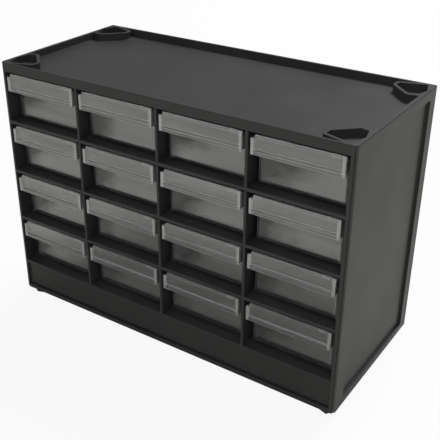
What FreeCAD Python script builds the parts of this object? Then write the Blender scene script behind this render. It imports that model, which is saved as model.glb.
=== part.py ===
import FreeCAD, Part
import os
import re
import Sketcher

# Compartment storage box: a black carcass of moulded panels with sixteen translucent drawers.
# Millimetres, +Z up. The front faces -Y, and the origin lies on the ground under the middle.

COLUMNS = 4
ROWS = 4

# Driving sizes, each written once
SIZES = {
    # Lattice of compartments
    "depth": 170.5,              # front plane to rear plane
    "column_pitch": 93,          # one compartment to the next, sideways
    "row_pitch": 54.4,           # one shelf top to the next
    "divider_bead": 2.6,         # thickness of a divider's front edge
    "divider_web": 2,            # thickness of a divider behind it
    "shelf_bead": 3.5,           # height of a shelf's front edge
    "shelf_web": 2,              # thickness of a shelf behind it
    "bead_depth": 5,             # how far back the front edges reach
    "bead_round": 0.6,           # rounding of the front edges
    "slot_fit": 0.1,             # play on each side in slots and mortises
    "seam_gap": 0.4,             # open seam round the edge of a side panel's skin
    # Sides and corners
    "side_wall": 4.8,            # side panel and front post, seen from the front
    "side_skin": 1.4,            # thin outer layer that laps over post and top panel
    "corner_round": 4,           # upright front corners
    "rear_round": 1.5,           # upright rear corners
    "recess_depth": 2.7,         # sunken field of the side panel
    "recess_front": 20.2,        # border in front of it
    "recess_rear": 14.4,         # border behind it
    "recess_head": 10,           # border above it
    "recess_foot": 7.3,          # border below it
    "recess_round": 2,           # its corners
    "post_tongue": 1.3,          # thickness of the tongue behind a post
    "post_reach": 2.5,           # how deep it goes into the side panel
    "tongue_front": 10.5,        # front plane to a shelf's front end tongue
    "tongue_rear": 6.5,          # rear plane to its rear end tongue
    "tongue_length": 6,
    "tongue_reach": 1.8,         # how far an end tongue goes into the side panel
    "tongue_root": 2,            # how far it is rooted in the shelf
    "mortise_spare": 0.2,        # room past the end of a tongue
    # Back
    "back_inset": 1.2,           # rear plane to the back panel
    "back_sheet": 2,
    "back_reach": 1,             # how far it goes into the side panels
    # Top panel
    "rail_height": 8.9,          # front rail, and rims round the tray
    "tray_sheet": 1.8,
    "rim_side": 3.6,
    "rim_front": 2.2,
    "rim_rear": 3,
    "rim_cover": 0.8,            # layer of the rims that covers the side panels' skins
    "rim_round": 0.5,
    # Base panel and plinth
    "foot_height": 6.6,
    "foot_fit": 0.8,             # play of a foot in a socket
    "foot_taper": 6,             # degrees
    "base_sheet": 2.4,
    "lip_height": 5.9,           # full-width lip under the plinth
    "lip_round": 2.5,            # its lower front edge
    "floor_rise": 37.1,          # underside of the base to the lowest shelf's top
    "plinth_setback": 2,
    "plinth_sheet": 2,
    "plinth_gap": 1.4,           # dark groove between lip and plinth
    "plinth_gap_depth": 1,
    # Socket in a corner of the tray, from the side face and from the front or rear face
    "socket_wall": 3,
    "socket_round": 1.5,
    "nose_in": 7.6,
    "nose_back": 3.9,
    "flank_in": 2.3,
    "flank_back": 20,
    "heel_in": 5.8,
    "heel_back": 34.3,
    "shoulder_in": 13.5,
    "shoulder_back": 35.8,
    "elbow_in": 31.8,
    "elbow_back": 18.2,
    "tip_in": 31.5,
    "tip_back": 11.3,
    # Drawer stop under a shelf
    "stop_width": 5,
    "stop_aside": 30.3,          # compartment's middle to the stop's middle
    "stop_drop": 4,              # below the shelf's front edge
    "stop_gap": 0.6,             # label plate's rear face to the stop
    "stop_toe": 1,               # drop at its front end
    "stop_ramp": 6,              # length of the sloping front end
    "stop_length": 27.4,
    "stop_root": 1,              # how far it is rooted in the sheet above
    # Drawer
    "drawer_wall": 1.4,
    "bin_gap": 4,                # to the front edges of the dividers
    "bin_lift": 0.3,             # to the shelf below
    "bin_rear_gap": 0.5,         # to the back panel
    "bin_setback": 10.5,         # front plane to the lower front wall
    "bin_round": 3.5,
    "bin_headroom": 0.9,         # side walls to the stop above
    "stop_catch": 0.8,           # how much the rear wall overlaps the stop
    "nose_height": 31.6,         # finger gap under the nose
    "nose_wall": 1,
    # Label plate on the nose
    "plate_back": 2,             # its rear face, behind the front plane
    "plate_proud": 0.5,          # its end ribs and lower lip, in front of the front plane
    "plate_sunk": 1,             # field behind the end ribs
    "plate_gap": 1.7,            # to the shelf's front edge above
    "plate_side_gap": 3.1,       # to the dividers' front edges
    "plate_lip": 3.2,            # height of the lip along the bottom
    "plate_bevel": 1.3,          # slope above the lip
    "plate_groove": 0.8,         # groove above the slope
    "plate_groove_depth": 0.5,
    "end_rib_width": 2.6,
    "notch_height": 3.3,         # cut at the upper left corner
    "notch_width": 3.6,
    "dip_height": 1.6,           # shallow dip in the field's upper edge, near the right end
    "dip_width": 6.5,
    "dip_depth": 0.8,
    "dip_aside": 33.5,           # compartment's middle to the dip's middle
}

# Formulas that follow from the driving sizes
DERIVED = {
    "half_width": f"({COLUMNS}*column_pitch - divider_bead)/2 + side_wall",
    "inner_side": "half_width - side_wall",
    "front": "(plate_proud - depth)/2",
    "rear": "(plate_proud + depth)/2",
    "back_face": "rear - back_inset - back_sheet",
    "halfway": "(front + back_face)/2",
    "corner_radius": "min(corner_round; side_wall - slot_fit)",
    "post_groove": "(side_wall + side_skin - post_tongue)/2",
    "lip_top": "foot_height + lip_height",
    "base_top": "foot_height + base_sheet",
    "floor_top": "foot_height + floor_rise",
    "rail_foot": f"floor_top + {ROWS}*row_pitch - shelf_bead",
    "tray_floor": "rail_foot + tray_sheet",
    "top": "rail_foot + rail_height",
    "opening_height": "row_pitch - shelf_bead",
    "stop_foot": "opening_height - stop_drop",
    "stop_start": "plate_back + stop_gap",
    "stop_end": "stop_start + stop_length",
    "bin_side": "(column_pitch - divider_bead)/2 - bin_gap",
    "bin_back": "depth - back_inset - back_sheet - bin_rear_gap",
    "bin_top": "stop_foot - bin_headroom",
    "plate_side": "(column_pitch - divider_bead)/2 - plate_side_gap",
    "plate_top": "opening_height - plate_gap",
    "plate_face": "plate_sunk - plate_proud",
}

FUNCTIONS = ("min", "max")

# How near two places count as the same
CLOSE = 1e-4


def size(text):
    """Turn a formula in words into an expression on the sheet."""
    def swap(match):
        word = match.group()
        if word in FUNCTIONS:
            return word
        if word in DERIVED:
            return "(" + size(DERIVED[word]) + ")"
        return "sizes." + word
    return re.sub("[a-z_]+", swap, text)


def make_sheet(doc):
    """Write the driving sizes into the sheet that every feature reads."""
    sheet = doc.addObject("Spreadsheet::Sheet", "sizes")
    for line, (word, value) in enumerate(SIZES.items(), 1):
        sheet.set(f"A{line}", str(value))
        sheet.setAlias(f"A{line}", word)
    doc.recompute()


# Building blocks

def new_body(doc, label):
    body = doc.addObject("PartDesign::Body", label)
    body.Label = label
    return body


def block(body, kind, name, x, y, z):
    """Add or cut a box between a low and a high formula along each axis."""
    feature = body.newObject(f"PartDesign::{kind}Box", name)
    for axis, side, (low, high) in zip("xyz", ("Length", "Width", "Height"), (x, y, z)):
        feature.setExpression(side, size(f"({high}) - ({low})"))
        feature.setExpression(f"Placement.Base.{axis}", size(low))
    body.Tip = feature
    return feature


def close_outline(sketch, points):
    """Draw a closed outline in a sketch and tie each corner to a pair of formulas."""
    corners = len(points)
    start = [FreeCAD.Vector(number % 2, number, 0) for number in range(corners)]
    for number in range(corners):
        line = Part.LineSegment(start[number], start[(number + 1) % corners])
        sketch.addGeometry(line, False)
    for number in range(corners):
        joint = Sketcher.Constraint("Coincident", number, 2, (number + 1) % corners, 1)
        sketch.addConstraint(joint)
    for number, corner in enumerate(points):
        for kind, formula in zip(("DistanceX", "DistanceY"), corner):
            index = sketch.addConstraint(Sketcher.Constraint(kind, -1, 1, number, 1, 1.0))
            sketch.setExpression(f"Constraints[{index}]", size(formula))


def origin_part(body, role):
    return next(part for part in body.Origin.OriginFeatures if part.Role == role)


def side_profile(body, name, x, points):
    """A sketch of a side view, in y and z, on the upright plane at x."""
    sketch = body.newObject("Sketcher::SketchObject", name)
    sketch.AttachmentSupport = (origin_part(body, "YZ_Plane"), [""])
    sketch.MapMode = "FlatFace"
    sketch.setExpression("AttachmentOffset.Base.z", size(x))
    close_outline(sketch, points)
    return sketch


def pad(body, name, sketch, width):
    """Extend a side profile by half the width to either side."""
    feature = body.newObject("PartDesign::Pad", name)
    feature.Profile = sketch
    feature.SideType = "Symmetric"
    feature.setExpression("Length", size(width))
    body.Tip = feature
    return feature


def repeat(body, name, features, role, reach, copies):
    """Repeat features along one of the body's axes, the last copy at a distance of reach."""
    pattern = body.newObject("PartDesign::LinearPattern", name)
    pattern.Originals = features
    pattern.Direction = (origin_part(body, role), [""])
    pattern.setExpression("Length", size(reach))
    pattern.Occurrences = copies
    body.Tip = pattern
    return pattern


def edge_names(feature, wanted):
    """Names of the edges of a feature's shape whose bounding box is a wanted one."""
    return [
        f"Edge{number}"
        for number, edge in enumerate(feature.Shape.Edges, 1)
        if wanted(edge.BoundBox)
    ]


def corner_edges(filled, along, later=None, **ends):
    """Edges along one axis at the corners of a filled box, named in its shape or a later one."""
    low = filled.Placement.Base
    high = low + FreeCAD.Vector(filled.Length, filled.Width, filled.Height)
    limits = {axis: (getattr(low, axis), getattr(high, axis)) for axis in "xyz"}
    for axis, end in ends.items():
        limits[axis] = limits[axis][:1] if end == "low" else limits[axis][1:]
    del limits[along]

    def at_corner(box):
        spans = {"x": (box.XMin, box.XMax), "y": (box.YMin, box.YMax), "z": (box.ZMin, box.ZMax)}
        return all(any(abs(spans[axis][0] - limit) < CLOSE and abs(spans[axis][1] - limit) < CLOSE
                       for limit in limits[axis]) for axis in limits)

    return edge_names(later or filled, at_corner)


def basin_edges(filled, later=None):
    """The upright edges of a filled box and those round its foot."""
    edges = corner_edges(filled, "z", later)
    for along in "xy":
        edges += corner_edges(filled, along, later, z="low")
    return edges


def top_edges(feature):
    """Names of the edges round the highest face of a feature's shape."""
    height = feature.Shape.BoundBox.ZMax
    return edge_names(feature, lambda box: box.ZMin > height - CLOSE)


def low_front_edges(feature):
    """Names of the edges along the foot of a feature's front, round its corners too."""
    shape = feature.Shape.BoundBox
    return edge_names(feature, lambda box: box.ZMax < shape.ZMin + CLOSE
                      and box.YMin < shape.YMin + CLOSE)


def fillet(body, name, feature, edges, radius):
    """Round the named edges of the latest feature."""
    rounding = body.newObject("PartDesign::Fillet", name)
    rounding.Base = (feature, edges)
    rounding.setExpression("Radius", size(radius))
    body.Tip = rounding
    body.Document.recompute()
    return rounding


def inward(side, near, far):
    """Low and high x between two distances inward from the outer face of a side, -1 or 1."""
    ends = (f"{side}*(half_width - ({near}))", f"{side}*(half_width - ({far}))")
    return ends if side < 0 else ends[::-1]


def from_end(end, near, far):
    """Low and high y between two distances from the front or rear plane."""
    if end == "front":
        return f"front + {near}", f"front + {far}"
    return f"rear - ({far})", f"rear - ({near})"


def middle(half):
    """Low and high x of something centred, from half its width."""
    return f"-1*({half})", half


# Feet and sockets share one outline

def socket_outline(doc, name, side, end, height):
    """The socket's opening in one corner of the tray, drawn at a height."""
    sketch = doc.addObject("Sketcher::SketchObject", name)
    sketch.setExpression("Placement.Base.z", size(height))
    points = []
    for corner in ("nose", "flank", "heel", "shoulder", "elbow", "tip"):
        x = f"{side}*(half_width - {corner}_in)"
        y = f"front + {corner}_back" if end == "front" else f"rear - {corner}_back"
        points.append((x, y))
    close_outline(sketch, points)
    return sketch


def offset_outline(doc, name, sketch, distance, join):
    """The same outline, larger or smaller by a distance all round."""
    outline = doc.addObject("Part::Offset2D", name)
    outline.Source = sketch
    outline.Join = join
    outline.setExpression("Value", size(distance))
    return outline


def extrude(doc, name, outline, direction, length, taper=None):
    """Extend an outline straight up or down, drawn in by a taper if there is one."""
    prism = doc.addObject("Part::Extrusion", name)
    prism.Base = outline
    prism.DirMode = "Custom"
    prism.Dir = FreeCAD.Vector(0, 0, direction)
    prism.Solid = True
    prism.setExpression("LengthFwd", size(length))
    if taper:
        prism.setExpression("TaperAngle", size(taper))
    return prism


def corners():
    """The four corners of the cabinet, with a name for each."""
    for end in ("front", "rear"):
        for side, hand in ((-1, "left"), (1, "right")):
            yield f"{end}_{hand}", side, end


def join(doc, name, kind, shapes):
    result = doc.addObject(f"Part::{kind}", name)
    result.Shapes = shapes
    return result


# Stop ribs hang under the top panel and under each shelf but the lowest

def add_stops(body, sheet_under, bead_under):
    """One stop in each compartment, from the sheet above it down past the front edge."""
    root = f"{sheet_under} + stop_root"
    foot = f"{bead_under} - stop_drop"
    first = f"stop_aside - {(COLUMNS - 1) / 2}*column_pitch"
    profile = side_profile(body, body.Name + "_stop_profile", first, [
        ("front + stop_start", root),
        ("front + stop_start", f"{bead_under} - stop_toe"),
        ("front + stop_start + stop_ramp", foot),
        ("front + stop_end", foot),
        ("front + stop_end", root),
    ])
    stop = pad(body, body.Name + "_stop", profile, "stop_width")
    reach = f"{COLUMNS - 1}*column_pitch"
    repeat(body, body.Name + "_stops", [stop], "X_Axis", reach, COLUMNS)


# Carcass

def make_top_panel(doc):
    """Tray with rims, front rail, corner sockets and the stops of the top row."""
    body = new_body(doc, "top_shell")
    slab = block(body, "Additive", "top_slab", middle("half_width"), ("front", "rear"),
                 ("rail_foot", "top"))
    doc.recompute()
    rounded = fillet(body, "top_front_corners", slab, corner_edges(slab, "z", y="low"),
                     "corner_radius")
    rear_edges = corner_edges(slab, "z", rounded, y="high")
    rounded = fillet(body, "top_rear_corners", rounded, rear_edges, "rear_round")
    fillet(body, "top_soft_edge", rounded, top_edges(rounded), "rim_round")
    for side, hand in ((-1, "left"), (1, "right")):
        block(body, "Subtractive", f"top_lap_{hand}", inward(side, "0", "side_skin + seam_gap"),
              ("front", "rear"), ("rail_foot", "top - rim_cover"))
    block(body, "Subtractive", "tray", middle("half_width - rim_side"),
          ("front + rim_front", "rear - rim_rear"), ("tray_floor", "top"))
    for corner, side, end in corners():
        block(body, "Additive", f"corner_{corner}", inward(side, "rim_side", "nose_in"),
              from_end(end, "rim_front", "flank_back"), ("tray_floor", "top"))
    add_stops(body, "rail_foot", "rail_foot")

    rings = []
    openings = []
    for corner, side, end in corners():
        outline = socket_outline(doc, f"socket_{corner}", side, end, "tray_floor")
        core = offset_outline(doc, f"core_outline_{corner}", outline, "-1*socket_round",
                              "Intersection")
        wide = offset_outline(doc, f"ring_outline_{corner}", core, "socket_round + socket_wall",
                              "Arc")
        rings.append(extrude(doc, f"ring_{corner}", wide, 1, "top - tray_floor"))
        soft = offset_outline(doc, f"opening_outline_{corner}", core, "socket_round", "Arc")
        openings.append(extrude(doc, f"opening_{corner}", soft, 1, "top - tray_floor"))
    room = doc.addObject("Part::Box", "tray_room")
    spans = (middle("half_width - rim_side"), ("front + rim_front", "rear - rim_rear"),
             ("tray_floor", "top"))
    for axis, edge, (low, high) in zip("xyz", ("Length", "Width", "Height"), spans):
        room.setExpression(edge, size(f"({high}) - ({low})"))
        room.setExpression(f"Placement.Base.{axis}", size(low))
    walls = join(doc, "ring_walls", "MultiCommon",
                 [join(doc, "rings", "MultiFuse", rings), room])
    panel = doc.addObject("Part::Cut", "top_panel")
    panel.Base = join(doc, "top_with_rings", "MultiFuse", [body, walls])
    panel.Tool = join(doc, "socket_openings", "MultiFuse", openings)
    return panel


def make_base_panel(doc):
    """Floor sheet with a full-width lip in front and four feet that fit the sockets."""
    body = new_body(doc, "base_shell")
    lip = block(body, "Additive", "lip", middle("half_width"), ("front", "front + bead_depth"),
                ("foot_height", "lip_top"))
    doc.recompute()
    rounded = fillet(body, "lip_corners", lip, corner_edges(lip, "z", y="low"), "corner_radius")
    fillet(body, "lip_lower_edge", rounded, low_front_edges(rounded), "lip_round")
    block(body, "Additive", "base_floor", middle("inner_side"),
          ("front + bead_depth", "rear - back_inset"), ("foot_height", "base_top"))
    feet = []
    for corner, side, end in corners():
        outline = socket_outline(doc, f"foot_plan_{corner}", side, end, "foot_height")
        small = offset_outline(doc, f"foot_outline_{corner}", outline, "-1*foot_fit",
                               "Intersection")
        feet.append(extrude(doc, f"foot_{corner}", small, -1, "foot_height", "-1*foot_taper"))
    return join(doc, "base_panel", "MultiFuse", [body] + feet)


def make_plinth(doc):
    """Bare front panel between the lip and the lowest shelf, with a groove along its foot."""
    body = new_body(doc, "plinth_panel")
    face = "front + plinth_setback"
    block(body, "Additive", "plinth", middle("inner_side"), (face, f"{face} + plinth_sheet"),
          ("lip_top", "floor_top - shelf_bead"))
    block(body, "Subtractive", "plinth_groove", middle("inner_side"),
          (face, f"{face} + plinth_gap_depth"), ("lip_top", "lip_top + plinth_gap"))
    return body


def make_side_panel(doc, side, hand):
    """Side panel: sunken outer field, lapping skin, mortises and grooves inside."""
    body = new_body(doc, f"{hand}_side_panel")
    name = hand + "_side"
    slab = block(body, "Additive", f"{name}_slab", inward(side, "0", "side_wall"),
                 ("front", "rear"), ("foot_height", "top - rim_cover - seam_gap"))
    doc.recompute()
    outer = "low" if side < 0 else "high"
    rounded = fillet(body, f"{name}_front", slab, corner_edges(slab, "z", x=outer, y="low"),
                     "corner_radius")
    fillet(body, f"{name}_rear", rounded, corner_edges(slab, "z", rounded, x=outer, y="high"),
           "rear_round")
    block(body, "Subtractive", f"{name}_post_room", inward(side, "side_skin", "side_wall"),
          ("front", "front + bead_depth"), ("foot_height", "top"))
    block(body, "Subtractive", f"{name}_lip_room", inward(side, "0", "side_wall"),
          ("front", "front + bead_depth"), ("foot_height", "lip_top"))
    block(body, "Subtractive", f"{name}_top_lap", inward(side, "side_skin", "side_wall"),
          ("front", "rear"), ("rail_foot", "top"))
    recess = block(body, "Subtractive", f"{name}_recess", inward(side, "0", "recess_depth"),
                   ("front + recess_front", "rear - recess_rear"),
                   ("foot_height + recess_foot", "top - recess_head"))
    doc.recompute()
    fillet(body, f"{name}_recess_corners", recess, corner_edges(recess, "x"), "recess_round")

    block(body, "Subtractive", f"{name}_post_groove",
          inward(side, "post_groove - slot_fit", "post_groove + post_tongue + slot_fit"),
          ("front + bead_depth", "front + bead_depth + post_reach + mortise_spare"),
          ("lip_top", "rail_foot"))
    block(body, "Subtractive", f"{name}_back_groove",
          inward(side, "side_wall - back_reach - mortise_spare", "side_wall"),
          ("back_face - slot_fit", "back_face + back_sheet + slot_fit"),
          ("base_top", "rail_foot"))
    mortises = []
    for end, (low, high) in tongue_spans().items():
        mortises.append(block(
            body, "Subtractive", f"{name}_mortise_{end}",
            inward(side, "side_wall - tongue_reach - mortise_spare", "side_wall"),
            (f"{low} - slot_fit", f"{high} + slot_fit"),
            ("floor_top - shelf_web - slot_fit", "floor_top + slot_fit")))
    repeat(body, f"{name}_mortises", mortises, "Z_Axis", f"{ROWS - 1}*row_pitch", ROWS)
    return body


def make_front_post(doc, side, hand):
    """Upright between lip and rail, inside the side panel's skin, with a tongue behind."""
    body = new_body(doc, f"{hand}_front_post")
    name = hand + "_post"
    span = ("lip_top", "rail_foot")
    bar = block(body, "Additive", f"{name}_bar", inward(side, "0", "side_wall"),
                ("front", "front + bead_depth"), span)
    doc.recompute()
    outer = "low" if side < 0 else "high"
    fillet(body, f"{name}_corner", bar, corner_edges(bar, "z", x=outer, y="low"),
           "corner_radius")
    block(body, "Subtractive", f"{name}_skin_room", inward(side, "0", "side_skin + seam_gap"),
          ("front", "front + bead_depth"), span)
    block(body, "Additive", f"{name}_tongue",
          inward(side, "post_groove", "post_groove + post_tongue"),
          ("front + bead_depth", "front + bead_depth + post_reach"), span)
    return body


def make_back_panel(doc):
    """Thin sheet in the side panels' grooves, from the base to the top panel."""
    body = new_body(doc, "back_panel")
    block(body, "Additive", "back", middle("inner_side + back_reach"),
          ("back_face", "back_face + back_sheet"), ("base_top", "rail_foot"))
    return body


def tongue_spans():
    """Low and high y of the two tongues at each end of a shelf."""
    return {
        "front": ("front + tongue_front", "front + tongue_front + tongue_length"),
        "rear": ("rear - tongue_rear - tongue_length", "rear - tongue_rear"),
    }


def make_shelf(doc, label, top, crossed):
    """Shelf with a front bead and end tongues, and with slots and stops if dividers cross it."""
    body = new_body(doc, label)
    bead = block(body, "Additive", f"{label}_bead", middle("inner_side"),
                 ("front", "front + bead_depth"), (f"{top} - shelf_bead", top))
    doc.recompute()
    fillet(body, f"{label}_bead_edges", bead, corner_edges(bead, "x", y="low"), "bead_round")
    block(body, "Additive", f"{label}_web", middle("inner_side"),
          ("front + bead_depth - bead_round", "back_face"), (f"{top} - shelf_web", top))
    for side, hand in ((-1, "left"), (1, "right")):
        for end, span in tongue_spans().items():
            block(body, "Additive", f"{label}_tongue_{end}_{hand}",
                  inward(side, "side_wall - tongue_reach", "side_wall + tongue_root"),
                  span, (f"{top} - shelf_web", top))
    if crossed:
        first = f"-1*{(COLUMNS - 2) / 2}*column_pitch"
        slot = block(body, "Subtractive", f"{label}_slot",
                     (f"{first} - divider_web/2 - slot_fit",
                      f"{first} + divider_web/2 + slot_fit"),
                     ("halfway - slot_fit", "back_face"), (f"{top} - shelf_web", top))
        reach = f"{COLUMNS - 2}*column_pitch"
        repeat(body, f"{label}_slots", [slot], "X_Axis", reach, COLUMNS - 1)
        add_stops(body, f"{top} - shelf_web", f"{top} - shelf_bead")
    return body


def make_divider(doc, number):
    """Upright web with a front bead, slotted in its front half for each shelf that it crosses."""
    label = f"divider_{number}"
    body = new_body(doc, label)
    x = f"{number - COLUMNS / 2}*column_pitch"
    bead = block(body, "Additive", f"{label}_bead",
                 (f"{x} - divider_bead/2", f"{x} + divider_bead/2"),
                 ("front", "front + bead_depth"), ("floor_top", "rail_foot"))
    doc.recompute()
    fillet(body, f"{label}_bead_edges", bead, corner_edges(bead, "z", y="low"), "bead_round")
    block(body, "Additive", f"{label}_web",
          (f"{x} - divider_web/2", f"{x} + divider_web/2"),
          ("front + bead_depth - bead_round", "back_face"), ("floor_top", "rail_foot"))
    shelf_top = "floor_top + row_pitch"
    across = (f"{x} - divider_bead/2", f"{x} + divider_bead/2")
    web_slot = block(body, "Subtractive", f"{label}_web_slot", across,
                     ("front", "halfway + slot_fit"),
                     (f"{shelf_top} - shelf_web - slot_fit", f"{shelf_top} + slot_fit"))
    bead_slot = block(body, "Subtractive", f"{label}_bead_slot", across,
                      ("front", "front + bead_depth + slot_fit"),
                      (f"{shelf_top} - shelf_bead - slot_fit", f"{shelf_top} + slot_fit"))
    repeat(body, f"{label}_slots", [web_slot, bead_slot], "Z_Axis",
           f"{ROWS - 2}*row_pitch", ROWS - 1)
    return body


# Drawer, drawn with x 0 in the middle of its compartment, y 0 at the front plane and z 0 on
# the shelf

def make_drawer_pattern(doc):
    """One moulding: bin, nose over the finger gap, label plate, raised rear wall."""
    body = new_body(doc, "drawer_pattern")
    bin_block = block(body, "Additive", "bin", middle("bin_side"), ("bin_setback", "bin_back"),
                      ("bin_lift", "bin_top"))
    block(body, "Additive", "nose", middle("bin_side"),
          ("plate_back", "bin_setback + drawer_wall"), ("nose_height", "bin_top"))
    inside = "bin_side - drawer_wall"
    hollow = block(body, "Subtractive", "bin_hollow", middle(inside),
                   ("bin_setback + drawer_wall", "bin_back - drawer_wall"),
                   ("bin_lift + drawer_wall", "bin_top"))
    doc.recompute()
    fillet(body, "hollow_corners", hollow, basin_edges(hollow), "bin_round - drawer_wall")
    nose_hollow = block(body, "Subtractive", "nose_hollow", middle(inside),
                        ("plate_back + nose_wall", "bin_setback + bin_round"),
                        ("nose_height + drawer_wall", "bin_top"))
    doc.recompute()
    fillet(body, "bin_corners", nose_hollow, basin_edges(bin_block, nose_hollow), "bin_round")
    block(body, "Additive", "rear_wall_rise", middle("bin_side - bin_round"),
          ("bin_back - drawer_wall", "bin_back"),
          ("bin_top - bin_round", "stop_foot + stop_catch"))
    add_label_plate(body)
    return body


def add_label_plate(body):
    """Plate across the nose: sunken field, end ribs, bevelled lip, corner notch and dip."""
    lip_line = "nose_height + plate_lip"
    slope_top = f"{lip_line} + plate_bevel"
    groove_top = f"{slope_top} + plate_groove"
    profile = side_profile(body, "plate_profile", "0", [
        ("plate_back", "nose_height"),
        ("-1*plate_proud", "nose_height"),
        ("-1*plate_proud", lip_line),
        ("plate_face", slope_top),
        ("plate_face + plate_groove_depth", slope_top),
        ("plate_face + plate_groove_depth", groove_top),
        ("plate_face", groove_top),
        ("plate_face", "plate_top"),
        ("plate_back", "plate_top"),
    ])
    pad(body, "plate", profile, "2*plate_side")
    ends = (("left", ("-1*plate_side", "end_rib_width - plate_side")),
            ("right", ("plate_side - end_rib_width", "plate_side")))
    for hand, span in ends:
        block(body, "Additive", f"end_rib_{hand}", span, ("-1*plate_proud", "plate_back"),
              ("nose_height", "plate_top"))
    block(body, "Subtractive", "corner_notch", ("-1*plate_side", "notch_width - plate_side"),
          ("-1*plate_proud", "plate_back"), ("plate_top - notch_height", "plate_top"))
    block(body, "Subtractive", "dip", ("dip_aside - dip_width/2", "dip_aside + dip_width/2"),
          ("plate_face", "plate_face + dip_depth"), ("plate_top - dip_height", "plate_top"))


def make_drawer(doc, pattern, row, column):
    """A drawer in its compartment, row 1 at the top and column 1 at the left."""
    label = f"drawer_r{row}c{column}"
    body = new_body(doc, label)
    moulding = doc.addObject("PartDesign::FeatureBase", f"{label}_moulding")
    moulding.BaseFeature = pattern
    body.Group = [moulding]
    body.Tip = moulding
    body.setExpression("Placement.Base.x", size(f"{column - (COLUMNS + 1) / 2}*column_pitch"))
    body.setExpression("Placement.Base.y", size("front"))
    body.setExpression("Placement.Base.z", size(f"floor_top + {ROWS - row}*row_pitch"))
    return body


def make_parts(doc):
    """Every separate piece of the cabinet."""
    parts = [make_top_panel(doc), make_base_panel(doc), make_plinth(doc), make_back_panel(doc)]
    for side, hand in ((-1, "left"), (1, "right")):
        parts.append(make_side_panel(doc, side, hand))
        parts.append(make_front_post(doc, side, hand))
    for row in range(1, ROWS):
        top = f"floor_top + {ROWS - row}*row_pitch"
        parts.append(make_shelf(doc, f"shelf_{row}", top, True))
    parts.append(make_shelf(doc, "floor_shelf", "floor_top", False))
    for number in range(1, COLUMNS):
        parts.append(make_divider(doc, number))
    pattern = make_drawer_pattern(doc)
    for row in range(1, ROWS + 1):
        for column in range(1, COLUMNS + 1):
            parts.append(make_drawer(doc, pattern, row, column))
    return parts


def check(doc, parts):
    """Stop if any feature failed or any piece isn't one sound solid."""
    for feature in doc.Objects:
        if "Invalid" in feature.State or "Error" in feature.State:
            raise RuntimeError(f"{feature.Name} failed: {feature.State}")
    for part in parts:
        if part.Shape.isNull() or not part.Shape.isValid() or len(part.Shape.Solids) != 1:
            raise RuntimeError(f"{part.Label} is not one sound solid")


def main():
    doc = FreeCAD.newDocument("storage_box")
    make_sheet(doc)
    parts = make_parts(doc)
    doc.recompute()
    check(doc, parts)
    os.makedirs("parts", exist_ok=True)
    for part in parts:
        part.Shape.exportStep(f"parts/{part.Label}.step")
    box = FreeCAD.BoundBox()
    for part in parts:
        box.add(part.Shape.optimalBoundingBox(False))
    print(f"{len(parts)} pieces, {box.XLength:.2f} x {box.YLength:.2f} x {box.ZLength:.2f} mm")


main()
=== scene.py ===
import math

import bpy
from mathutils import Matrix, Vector

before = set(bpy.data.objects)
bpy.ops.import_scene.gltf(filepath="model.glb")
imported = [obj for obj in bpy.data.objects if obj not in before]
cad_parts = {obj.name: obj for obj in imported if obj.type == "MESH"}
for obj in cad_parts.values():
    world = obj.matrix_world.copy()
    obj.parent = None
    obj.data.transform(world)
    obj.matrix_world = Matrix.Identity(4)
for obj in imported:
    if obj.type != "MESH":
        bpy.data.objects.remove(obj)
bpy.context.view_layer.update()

# Compartment storage box. Metres; the front faces -Y and the box stands on z 0.

MM = 0.001

# View of the photograph, 440 x 440
PHOTO_SIZE = 440
CAMERA_TARGET = Vector((-4.276, 1.45, 118.721)) * MM
CAMERA_DISTANCE = 820.64 * MM
CAMERA_AZIMUTH = math.radians(34.081)
CAMERA_ELEVATION = math.radians(27.542)
FOCAL_PIXELS = 799.02               # focal length in pixels of the photograph
CENTRE_PIXEL = (206.669, 211.164)   # where the camera's axis meets the picture
SENSOR_WIDTH = 36.0                 # millimetres, as Blender counts it
VIEW_END = 50.0                     # nothing farther from the camera is rendered

# Floor, world and lamps
WHITE = (1.0, 1.0, 1.0, 1)
FLOOR_RADIUS = 6.0
FLOOR_SIDES = 64
FLOOR_COLOUR = (0.86, 0.85, 0.82, 1)
FLOOR_LIFT = 0.92                   # share of plain white in the floor as the camera sees it
WORLD_STRENGTH = 0.27               # of the world as a light; where it is seen it has 1
LAMP_TARGET = (0, 0, 0.13)
LAMPS = {                           # lengths in metres, power in watts
    "key_softbox": {"place": (0.25, 2.6, 3.7), "width": 1.5, "height": 1.5, "power": 152},
    "front_softbox": {"place": (0.3, -0.8, 0.8), "width": 0.9, "height": 0.4, "power": 2.5},
}

# Values that the materials share
RISING = (0.0, 1.0)
FALLING = (1.0, 0.0)
NOISE_MIDDLE = (0.3, 0.7)           # where most values of a noise texture lie
BEVEL_SAMPLES = 4

# Black plastic of the carcass. The scale of a noise is in cells per metre.
BLACK = (0.036, 0.036, 0.035, 1)
BLACK_WORN = (0.07, 0.07, 0.068, 1)
BLACK_SHADES = (0.88, 1.15)         # darkest and lightest blotches, times BLACK
BLACK_IOR = 1.36
BLACK_ROUGHNESS = (0.42, 0.5)
BLACK_EDGE_RADIUS = 0.5 * MM        # how near to an edge the plastic looks rubbed
BLACK_EDGE_LIMITS = (0.55, 0.98)    # likeness of the two normals on a crest and on a flat face
GRAIN = {"Scale": 2600, "Detail": 2, "Roughness": 0.6}
GRAIN_RELIEF = {"Strength": 0.22, "Distance": 0.08 * MM}
SWELL = {"Scale": 70, "Detail": 2, "Roughness": 0.5}
SWELL_RELIEF = {"Strength": 0.05, "Distance": 0.6 * MM}
BLOTCH = {"Scale": 14, "Detail": 3, "Roughness": 0.55}
WEAR = {"Scale": 160, "Detail": 3, "Roughness": 0.6}
WEAR_LIMITS = (0.35, 0.65)          # noise at which an edge is unworn and most worn
WEAR_SHARE = (0.0, 0.8)             # share of BLACK_WORN there

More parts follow.
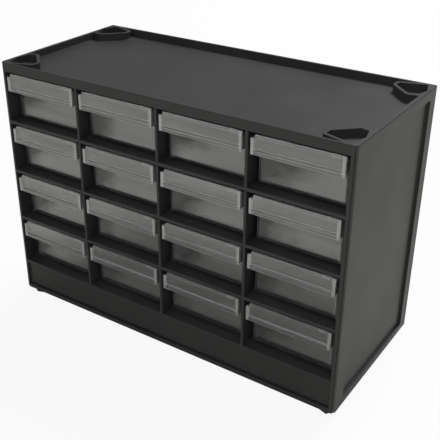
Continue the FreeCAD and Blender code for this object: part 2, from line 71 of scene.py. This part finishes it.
# Clear plastic of the drawers
CLEAR = (0.58, 0.576, 0.572, 1)
# Milky white on edges and ribs: a painted highlight, partly the real milkiness of thicker plastic
CLEAR_MILKY_HIGHLIGHT = (0.97, 0.965, 0.96, 1)
CLEAR_SHADES = (0.9, 1.1)           # darkest and lightest clouds, times CLEAR
CLEAR_IOR = 1.47
CLEAR_ROUGHNESS = (0.12, 0.2)
TRANSMISSION = (0.97, 0.25)         # of clear plastic and where the milky painted highlight is full
CLEAR_EDGE_RADIUS = 1.3 * MM        # how near to an edge the painted highlight, as milky plastic, reaches
CLEAR_EDGE_LIMITS = (0.72, 0.99)    # likeness of the two normals on a crest and on a flat face
COAT_ROUGHNESS = 0.07
COAT_IOR = 2.0
CLOUD = {"Scale": 22, "Detail": 3, "Roughness": 0.5}
FLOW = {"Scale": 55, "Detail": 3, "Roughness": 0.55}
FLOW_SPACE = (1.0, 1.0, 0.25)       # flow lines are longest along Z
FLOW_RELIEF = {"Strength": 0.08, "Distance": 0.5 * MM}
STREAK = {"Scale": 170, "Detail": 1, "Roughness": 0.5}
STREAK_SPACE = (0.06, 1.0, 1.0)     # streaks in the gloss run along X
STREAK_GLOSS = (0.7, 1.0)

# Ribs with a painted highlight, and painted shade on the walls. Places are shares of a drawer's
# own box, from its left, front and lower sides.
RIB_OUTER = 0.028                   # a rib is full up to here from either end of the plate
RIB_INNER = 0.036                   # and has ended here
RIB_HIGHLIGHT = (0.0, 0.38)         # painted highlight as milkiness, beside the ribs and in them
PLATE_BACK = (0.03, 0.05)           # behind the plate, the painted shade starts and is full here
SHADE_LEAN = -0.7                    # a place higher up counts as farther left
SHADE_FADE = (-0.1, 0.25)            # from the left, the painted shade is full up to here and has ended here
# noise that makes the painted shade's border ragged
SHADE_NOISE = {"Scale": 30, "Detail": 2, "Roughness": 0.5}
SHADE_RAGGED = (-0.2, 0.2)           # how far the noise shifts the painted shade's border


# Small helpers for node materials

class Nodes:
    """Adds nodes to one tree."""

    def __init__(self, tree):
        self.tree = tree
        tree.nodes.clear()

    def add(self, kind, inputs=None, **settings):
        """A new node. Each input that is named takes a value or another node's output."""
        node = self.tree.nodes.new(kind)
        for name, value in settings.items():
            setattr(node, name, value)
        for name, value in (inputs or {}).items():
            if isinstance(value, bpy.types.NodeSocket):
                self.tree.links.new(value, node.inputs[name])
            else:
                node.inputs[name].default_value = value
        return node


def new_material(name):
    material = bpy.data.materials.new(name)
    material.use_nodes = True
    return material, Nodes(material.node_tree)


def calculate(nodes, operation, *values):
    node = nodes.add("ShaderNodeMath", dict(enumerate(values)), operation=operation)
    return node.outputs["Value"]


def spread(nodes, value, onto, over=NOISE_MIDDLE):
    """Map a value from the range over to the range onto, and no farther than its ends."""
    node = nodes.add("ShaderNodeMapRange", {
        "Value": value,
        "From Min": over[0],
        "From Max": over[1],
        "To Min": onto[0],
        "To Max": onto[1]})
    return node.outputs["Result"]


def stretch(nodes, space, scales):
    node = nodes.add("ShaderNodeMapping", {"Vector": space, "Scale": scales})
    return node.outputs["Vector"]


def noise(nodes, space, texture):
    return nodes.add("ShaderNodeTexNoise", {"Vector": space, **texture}).outputs["Fac"]


def bump(nodes, height, relief, below):
    """The normal below, tilted by the height."""
    node = nodes.add("ShaderNodeBump", {"Height": height, "Normal": below, **relief})
    return node.outputs["Normal"]


def blend(nodes, share, first, second):
    node = nodes.add("ShaderNodeMix", {"Factor": share, "A": first, "B": second}, data_type="RGBA")
    return node.outputs["Result"]


def shaded(nodes, texture, colour, shades):
    """A colour that a noise texture makes darker and lighter."""
    darkest, lightest = (tuple(shade * part for part in colour[:3]) + (1,) for shade in shades)
    return blend(nodes, spread(nodes, texture, RISING), darkest, lightest)


def edge_mask(nodes, radius, limits):
    """The normal rounded over edges, and a mask: 1 on their crests, 0 on flat faces."""
    rounded = nodes.add("ShaderNodeBevel", {"Radius": radius}, samples=BEVEL_SAMPLES)
    flat = nodes.add("ShaderNodeNewGeometry")
    likeness = nodes.add("ShaderNodeVectorMath",
                         {0: rounded.outputs["Normal"], 1: flat.outputs["True Normal"]},
                         operation="DOT_PRODUCT")
    return rounded.outputs["Normal"], spread(nodes, likeness.outputs["Value"], FALLING, limits)


# Materials of the box

def black_plastic():
    """Satin moulded plastic: fine spark-eroded grain, uneven gloss, rubbed edges."""
    material, nodes = new_material("black_plastic")
    space = nodes.add("ShaderNodeTexCoord").outputs["Object"]
    rounded, crest = edge_mask(nodes, BLACK_EDGE_RADIUS, BLACK_EDGE_LIMITS)

    relief = bump(nodes, noise(nodes, space, SWELL), SWELL_RELIEF, rounded)
    relief = bump(nodes, noise(nodes, space, GRAIN), GRAIN_RELIEF, relief)

    blotch = noise(nodes, space, BLOTCH)
    wear = spread(nodes, noise(nodes, space, WEAR), WEAR_SHARE, WEAR_LIMITS)
    worn = calculate(nodes, "MULTIPLY", crest, wear)
    tone = shaded(nodes, blotch, BLACK, BLACK_SHADES)

    shader = nodes.add("ShaderNodeBsdfPrincipled", {
        "Base Color": blend(nodes, worn, tone, BLACK_WORN),
        "IOR": BLACK_IOR,
        "Roughness": spread(nodes, blotch, BLACK_ROUGHNESS),
        "Normal": relief})
    nodes.add("ShaderNodeOutputMaterial", {"Surface": shader.outputs["BSDF"]})
    return material


def thick_ribs(nodes, across):
    """1 in the thick ribs at both ends of the label plate, where a highlight is painted as milkier
    plastic, partly the real milkiness of the thicker plastic.
    """
    left = spread(nodes, across, FALLING, (RIB_OUTER, RIB_INNER))
    right = spread(nodes, across, RISING, (1 - RIB_INNER, 1 - RIB_OUTER))
    return calculate(nodes, "MAXIMUM", left, right)


def painted_wall_shade(nodes, space, place):
    """Mask of painted shade on a drawer's walls, full towards the upper left, none on its plate;
    it takes gloss from the coat.
    """
    across = calculate(nodes, "MULTIPLY_ADD", place.outputs["Z"], SHADE_LEAN, place.outputs["X"])
    shift = spread(nodes, noise(nodes, space, SHADE_NOISE), SHADE_RAGGED)
    thick = spread(nodes, calculate(nodes, "ADD", across, shift), FALLING, SHADE_FADE)
    behind = spread(nodes, place.outputs["Y"], RISING, PLATE_BACK)
    return calculate(nodes, "MULTIPLY", thick, behind)


def clear_plastic():
    """Translucent moulded plastic with faint flow lines, painted highlights on edges and ribs as
    milky plastic (partly real milkiness of thicker plastic), painted shade on the walls, and
    streaks in its gloss.
    """
    material, nodes = new_material("clear_plastic")
    coords = nodes.add("ShaderNodeTexCoord")
    space = coords.outputs["Object"]
    place = nodes.add("ShaderNodeSeparateXYZ", {"Vector": coords.outputs["Generated"]})

    rounded, crest = edge_mask(nodes, CLEAR_EDGE_RADIUS, CLEAR_EDGE_LIMITS)
    ribs = spread(nodes, thick_ribs(nodes, place.outputs["X"]), RIB_HIGHLIGHT, RISING)
    # Painted highlight: edges and ribs are made milky white and less clear, partly the real
    # milkiness of thicker plastic.
    milk_and_highlight = calculate(nodes, "MAXIMUM", crest, ribs)
    tone = shaded(nodes, noise(nodes, space, CLOUD), CLEAR, CLEAR_SHADES)

    flow = noise(nodes, stretch(nodes, space, FLOW_SPACE), FLOW)
    streak = noise(nodes, stretch(nodes, space, STREAK_SPACE), STREAK)
    # Painted shade: the coat's gloss is taken away towards each wall's upper left, so that part
    # reflects less.
    unshaded = spread(nodes, painted_wall_shade(nodes, space, place), FALLING, RISING)
    gloss_and_shade = calculate(nodes, "MULTIPLY", unshaded, spread(nodes, streak, STREAK_GLOSS))

    shader = nodes.add("ShaderNodeBsdfPrincipled", {
        "Base Color": blend(nodes, milk_and_highlight, tone, CLEAR_MILKY_HIGHLIGHT),
        "IOR": CLEAR_IOR,
        "Roughness": spread(nodes, flow, CLEAR_ROUGHNESS),
        "Transmission Weight": spread(nodes, milk_and_highlight, TRANSMISSION, RISING),
        "Coat Weight": gloss_and_shade,
        "Coat Roughness": COAT_ROUGHNESS,
        "Coat IOR": COAT_IOR,
        "Normal": bump(nodes, flow, FLOW_RELIEF, rounded)})
    nodes.add("ShaderNodeOutputMaterial", {"Surface": shader.outputs["BSDF"]})
    return material


def dress(materials):
    """Give every carried-over piece its material by what it is."""
    for name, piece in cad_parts.items():
        material = materials["clear" if name.startswith("drawer_") else "black"]
        for slot in piece.material_slots:
            slot.link = "OBJECT"
            slot.material = material


# Floor, world, lamps and camera

def new_object(name, data):
    thing = bpy.data.objects.new(name, data)
    bpy.context.collection.objects.link(thing)
    return thing


def floor_material():
    """Plain pale floor; mostly white to the camera, so that its shadows look faint."""
    material, nodes = new_material("studio_floor")
    diffuse = nodes.add("ShaderNodeBsdfDiffuse", {"Color": FLOOR_COLOUR})
    white = nodes.add("ShaderNodeEmission", {"Color": WHITE, "Strength": 1})
    path = nodes.add("ShaderNodeLightPath")
    share = spread(nodes, path.outputs["Is Camera Ray"], (0, FLOOR_LIFT), RISING)
    total = nodes.add("ShaderNodeMixShader",
                      {0: share, 1: diffuse.outputs["BSDF"], 2: white.outputs["Emission"]})
    nodes.add("ShaderNodeOutputMaterial", {"Surface": total.outputs["Shader"]})
    return material


def make_floor():
    """A round floor under the box."""
    angles = [2 * math.pi * number / FLOOR_SIDES for number in range(FLOOR_SIDES)]
    rim = [(FLOOR_RADIUS * math.cos(angle), FLOOR_RADIUS * math.sin(angle), 0) for angle in angles]
    mesh = bpy.data.meshes.new("floor")
    mesh.from_pydata(rim, [], [tuple(range(FLOOR_SIDES))])
    mesh.materials.append(floor_material())
    floor = new_object("floor", mesh)


def make_world():
    """White to the camera and through clear plastic, plain soft light elsewhere."""
    world = bpy.data.worlds.new("studio")
    bpy.context.scene.world = world
    world.use_nodes = True
    nodes = Nodes(world.node_tree)
    path = nodes.add("ShaderNodeLightPath")
    seen = calculate(nodes, "MAXIMUM", path.outputs["Is Camera Ray"],
                     path.outputs["Is Transmission Ray"])
    strength = spread(nodes, seen, (WORLD_STRENGTH, 1.0), RISING)
    background = nodes.add("ShaderNodeBackground", {"Color": WHITE, "Strength": strength})
    nodes.add("ShaderNodeOutputWorld", {"Surface": background.outputs["Background"]})


def aim(thing, place, target):
    thing.location = place
    thing.rotation_euler = (Vector(target) - Vector(place)).to_track_quat("-Z", "Y").to_euler()


def soft_light(name, place, width, height, power):
    light = bpy.data.lights.new(name, "AREA")
    light.shape = "RECTANGLE"
    light.size = width
    light.size_y = height
    light.energy = power
    aim(new_object(name, light), place, LAMP_TARGET)


def make_camera():
    """Camera at the photograph's viewing angle, axis and framing."""
    data = bpy.data.cameras.new("camera")
    data.sensor_width = SENSOR_WIDTH
    data.lens = FOCAL_PIXELS / PHOTO_SIZE * SENSOR_WIDTH
    data.shift_x = (PHOTO_SIZE / 2 - CENTRE_PIXEL[0]) / PHOTO_SIZE
    data.shift_y = (CENTRE_PIXEL[1] - PHOTO_SIZE / 2) / PHOTO_SIZE
    data.clip_end = VIEW_END
    camera = new_object("camera", data)
    away = Vector((math.sin(CAMERA_AZIMUTH) * math.cos(CAMERA_ELEVATION),
                   -math.cos(CAMERA_AZIMUTH) * math.cos(CAMERA_ELEVATION),
                   math.sin(CAMERA_ELEVATION)))
    aim(camera, CAMERA_TARGET + CAMERA_DISTANCE * away, CAMERA_TARGET)
    bpy.context.scene.camera = camera


bpy.context.scene.view_settings.view_transform = "Standard"
make_world()
make_floor()
for lamp_name, lamp in LAMPS.items():
    soft_light(lamp_name, **lamp)
make_camera()
dress({"black": black_plastic(), "clear": clear_plastic()})
